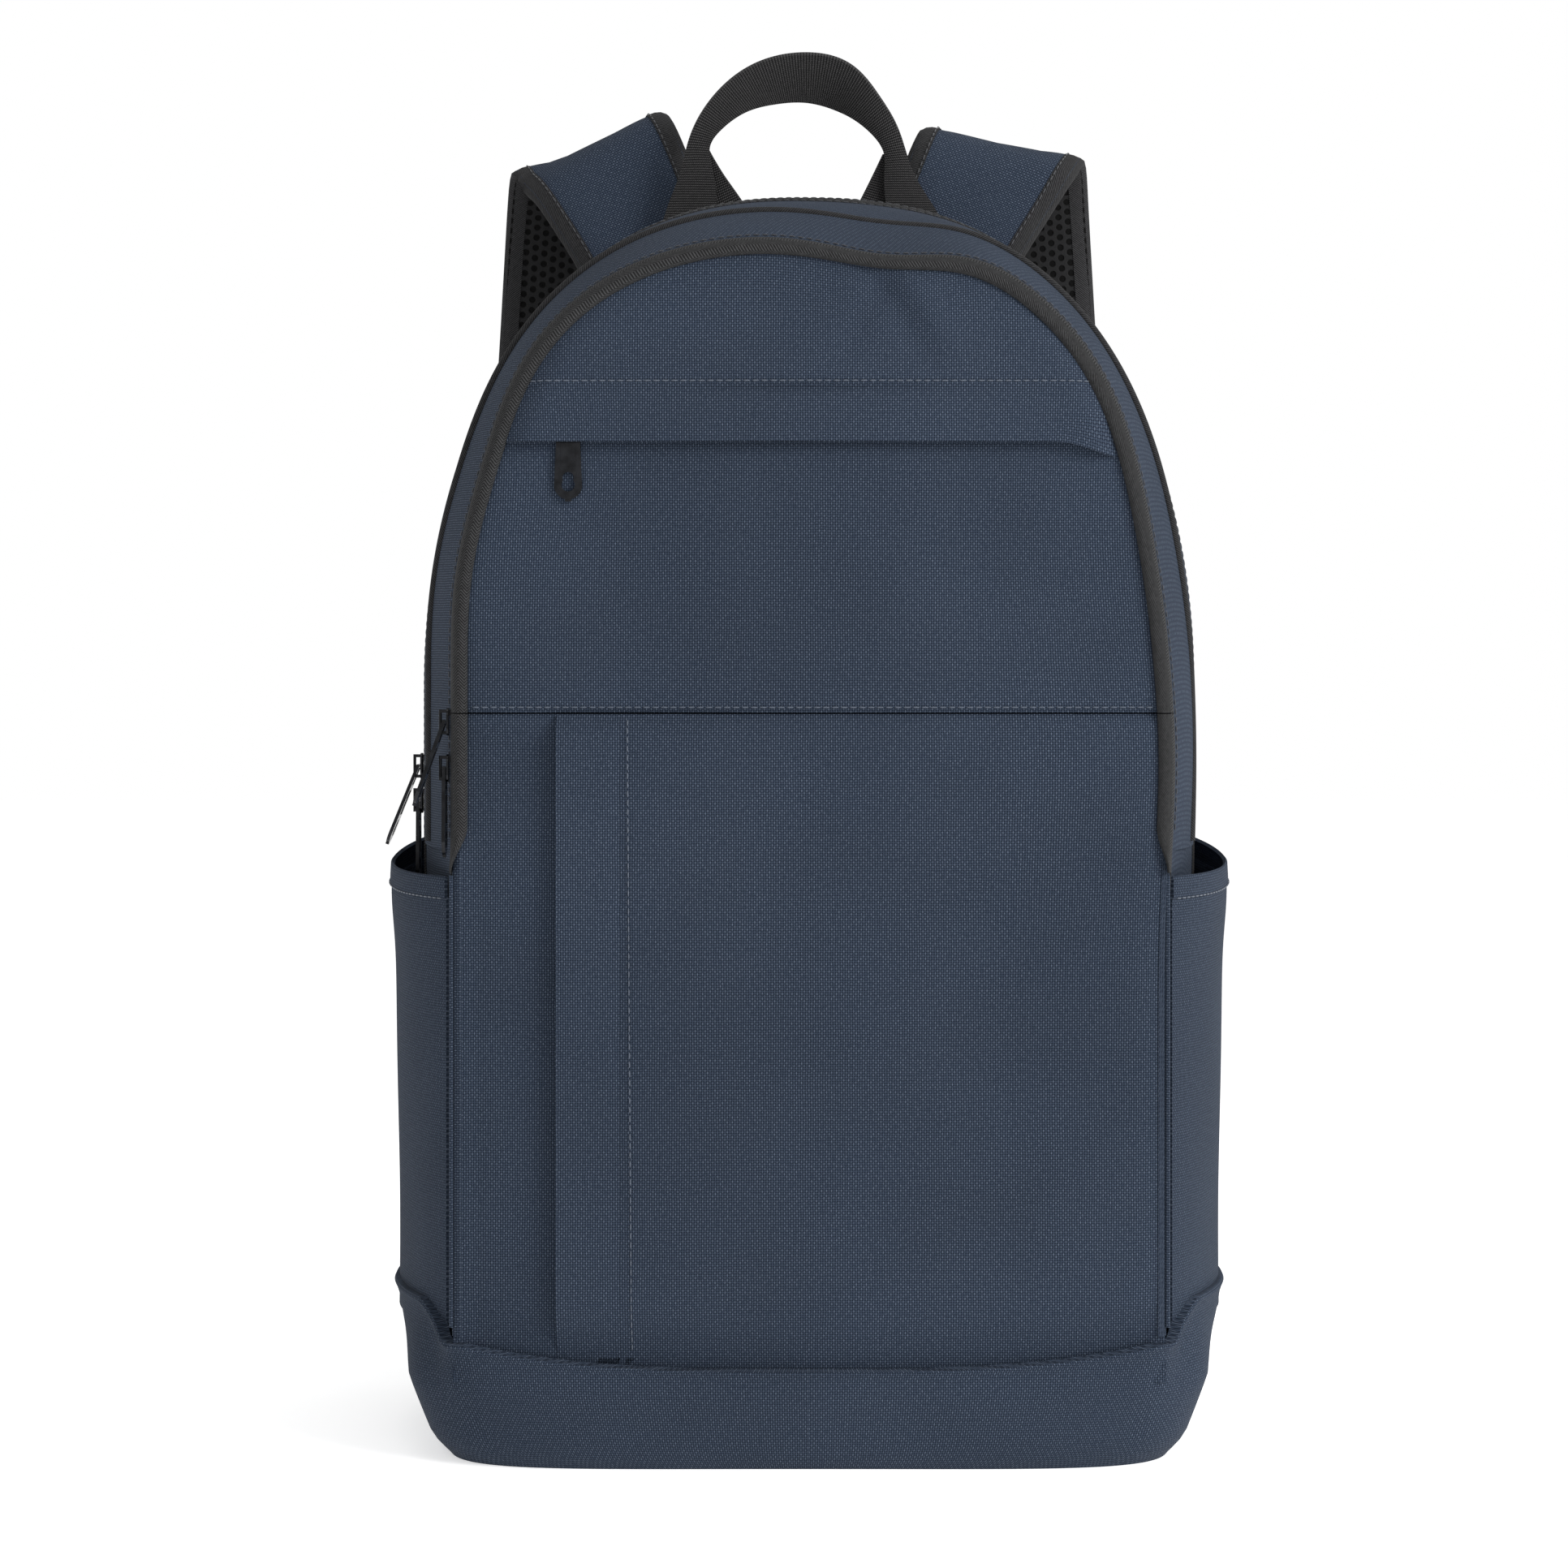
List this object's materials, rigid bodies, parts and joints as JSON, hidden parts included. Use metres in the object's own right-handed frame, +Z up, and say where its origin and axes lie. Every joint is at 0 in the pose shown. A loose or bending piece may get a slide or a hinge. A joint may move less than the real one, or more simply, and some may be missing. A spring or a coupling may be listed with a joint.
{
  "type": "school backpack",
  "caption": "School backpack with an arched two-way zipped front flap, hidden pockets, open side pockets, padded shoulder straps and a webbing haul loop.",
  "frame": {"origin": "on the floor under the middle of the bag's bottom", "axes": "+Z up, the front of the bag faces -Y, +X to the right of someone looking at the front"},
  "size_m": [0.3088, 0.2197, 0.5176],
  "materials": {
    "canvas": "coarse plain-weave polyester canvas, navy with lighter flecks, matt",
    "binding": "black twill edge binding",
    "webbing": "black ribbed polypropylene webbing",
    "air_mesh": "black spacer mesh with small hexagonal holes",
    "zip_tape": "brown-black herringbone zip tape with a nylon coil",
    "lining": "thin grey polyester lining",
    "foam": "closed-cell padding foam",
    "board": "polyethylene stiffener sheet",
    "buckle_plastic": "moulded black plastic, satin",
    "gunmetal": "glossy dark gunmetal plating"
  },
  "bodies": {
    "bag_body": {"back_foam": "foam", "back_mesh": "air_mesh", "back_panel": "canvas", "base_board": "board", "base_panel": "canvas", "compartment_divider": "lining", "front_zip_gusset_half": "zip_tape", "front_zip_lower_ends": "zip_tape", "laptop_sleeve": "lining", "lower_front_panel": "canvas", "lower_webbing_left": "webbing", "lower_webbing_right": "webbing", "middle_gusset": "canvas", "placket_bag": "lining", "placket_side_panel": "canvas", "placket_zip_left_half": "zip_tape", "placket_zip_right_half": "zip_tape", "rear_gusset": "canvas", "rear_zip_back_half": "zip_tape", "rear_zip_front_half": "zip_tape", "side_panel_left": "canvas", "side_panel_right": "canvas", "side_pocket_left": "canvas", "side_pocket_right": "canvas", "strap_anchor_left": "canvas", "strap_anchor_right": "canvas", "strap_yoke": "canvas"},
    "front_flap": {"upper_front_panel": "canvas", "pocket_zip_upper_half": "zip_tape", "pocket_zip_lower_half": "zip_tape", "pocket_bag": "lining", "front_zip_flap_half": "zip_tape"},
    "pocket_flap": {"pocket_cover": "canvas"},
    "pocket_slider": {"pocket_slider": "gunmetal"},
    "pocket_pull": {"pocket_pull": "gunmetal"},
    "placket_flap": {"placket_cover": "canvas"},
    "placket_slider": {"placket_slider": "gunmetal"},
    "placket_pull": {"placket_pull": "gunmetal"},
    "front_upper_slider": {"front_upper_slider": "gunmetal"},
    "front_upper_pull": {"front_upper_pull": "gunmetal"},
    "front_lower_slider": {"front_lower_slider": "gunmetal"},
    "front_lower_pull": {"front_lower_pull": "gunmetal"},
    "rear_upper_slider": {"rear_upper_slider": "gunmetal"},
    "rear_upper_pull": {"rear_upper_pull": "gunmetal"},
    "rear_lower_slider": {"rear_lower_slider": "gunmetal"},
    "rear_lower_pull": {"rear_lower_pull": "gunmetal"},
    "haul_loop": {"haul_loop": "webbing"},
    "shoulder_strap_left": {"strap_foam_left": "foam", "strap_canvas_left": "canvas", "strap_mesh_left": "air_mesh", "strap_binding_left": "binding", "lock_tab_left": "webbing"},
    "ladder_lock_left": {"ladder_lock_left": "buckle_plastic"},
    "shoulder_strap_right": {"strap_foam_right": "foam", "strap_canvas_right": "canvas", "strap_mesh_right": "air_mesh", "strap_binding_right": "binding", "lock_tab_right": "webbing"},
    "ladder_lock_right": {"ladder_lock_right": "buckle_plastic"}
  },
  "joints": [
    {"name": "front_flap_fold", "type": "hinge", "parent": "bag_body", "child": "front_flap", "pos_m": [0, -0.084, 0.262], "axis": [1, 0, 0], "range_deg": [0, 100]},
    {"name": "pocket_flap_lift", "type": "hinge", "parent": "front_flap", "child": "pocket_flap", "pos_m": [0, -0.0837, 0.37435], "axis": [-1, 0, 0], "range_deg": [0, 70]},
    {"name": "pocket_slider_travel", "type": "slide", "parent": "front_flap", "child": "pocket_slider", "axis": [1, 0, 0], "range_m": [0, 0.17]},
    {"name": "pocket_pull_swing", "type": "hinge", "parent": "pocket_slider", "child": "pocket_pull", "pos_m": [-0.083, -0.0804, 0.366], "axis": [-1, 0, 0], "range_deg": [0, 70]},
    {"name": "placket_flap_lift", "type": "hinge", "parent": "bag_body", "child": "placket_flap", "pos_m": [-0.06515, -0.0837, 0.15], "axis": [0, 0, 1], "range_deg": [0, 110]},
    {"name": "placket_slider_travel", "type": "slide", "parent": "bag_body", "child": "placket_slider", "axis": [0, 0, -1], "range_m": [0, 0.16]},
    {"name": "placket_pull_swing", "type": "hinge", "parent": "placket_slider", "child": "placket_pull", "pos_m": [-0.078, -0.0804, 0.248], "axis": [-1, 0, 0], "range_deg": [0, 44]},
    {"name": "front_upper_slider_travel", "type": "slide", "parent": "bag_body", "child": "front_upper_slider", "axis": [0, 0, 1], "range_m": [0, 0.038]},
    {"name": "front_upper_pull_swing", "type": "hinge", "parent": "front_upper_slider", "child": "front_upper_pull", "pos_m": [-0.1264, -0.0724, 0.259], "axis": [0, 1, 0], "range_deg": [0, 125]},
    {"name": "front_lower_slider_travel", "type": "slide", "parent": "bag_body", "child": "front_lower_slider", "axis": [0, 0, -1], "range_m": [0, 0.023]},
    {"name": "front_lower_pull_swing", "type": "hinge", "parent": "front_lower_slider", "child": "front_lower_pull", "pos_m": [-0.1264, -0.0724, 0.243], "axis": [0, 1, 0], "range_deg": [0, 28]},
    {"name": "rear_upper_slider_travel", "type": "slide", "parent": "bag_body", "child": "rear_upper_slider", "axis": [0, 0, 1], "range_m": [0, 0.026]},
    {"name": "rear_upper_pull_swing", "type": "hinge", "parent": "rear_upper_slider", "child": "rear_upper_pull", "pos_m": [-0.1439, 0.005, 0.2415], "axis": [0, 1, 0], "range_deg": [0, 125]},
    {"name": "rear_lower_slider_travel", "type": "slide", "parent": "bag_body", "child": "rear_lower_slider", "axis": [0, 0, -1], "range_m": [0, 0.009]},
    {"name": "rear_lower_pull_swing", "type": "hinge", "parent": "rear_lower_slider", "child": "rear_lower_pull", "pos_m": [-0.1439, 0.005, 0.229], "axis": [0, 1, 0], "range_deg": [0, 10]},
    {"name": "shoulder_strap_left_swing", "type": "hinge", "parent": "bag_body", "child": "shoulder_strap_left", "pos_m": [-0.06, 0.084, 0.43], "axis": [1, 0, 0], "range_deg": [0, 10], "deforming": ["lower_webbing_left"]},
    {"name": "ladder_lock_left_tilt", "type": "hinge", "parent": "shoulder_strap_left", "child": "ladder_lock_left", "pos_m": [-0.112, 0.103, 0.1476], "axis": [1, 0, 0], "range_deg": [-25, 35]},
    {"name": "shoulder_strap_right_swing", "type": "hinge", "parent": "bag_body", "child": "shoulder_strap_right", "pos_m": [0.051, 0.084, 0.43], "axis": [1, 0, 0], "range_deg": [0, 10], "deforming": ["lower_webbing_right"]},
    {"name": "ladder_lock_right_tilt", "type": "hinge", "parent": "shoulder_strap_right", "child": "ladder_lock_right", "pos_m": [0.103, 0.103, 0.1476], "axis": [1, 0, 0], "range_deg": [-25, 35]},
    {"name": "haul_loop_flop", "type": "hinge", "parent": "bag_body", "child": "haul_loop", "pos_m": [0, 0.0775, 0.453], "axis": [1, 0, 0], "range_deg": [-10, 65], "stiffness_Nm_per_rad": 0.03}
  ],
  "couplings": [
    {"joint": "pocket_pull_swing", "follows": "pocket_flap_lift", "ratio": 1},
    {"joint": "placket_pull_swing", "follows": "placket_flap_lift", "ratio": 0.4}
  ]
}
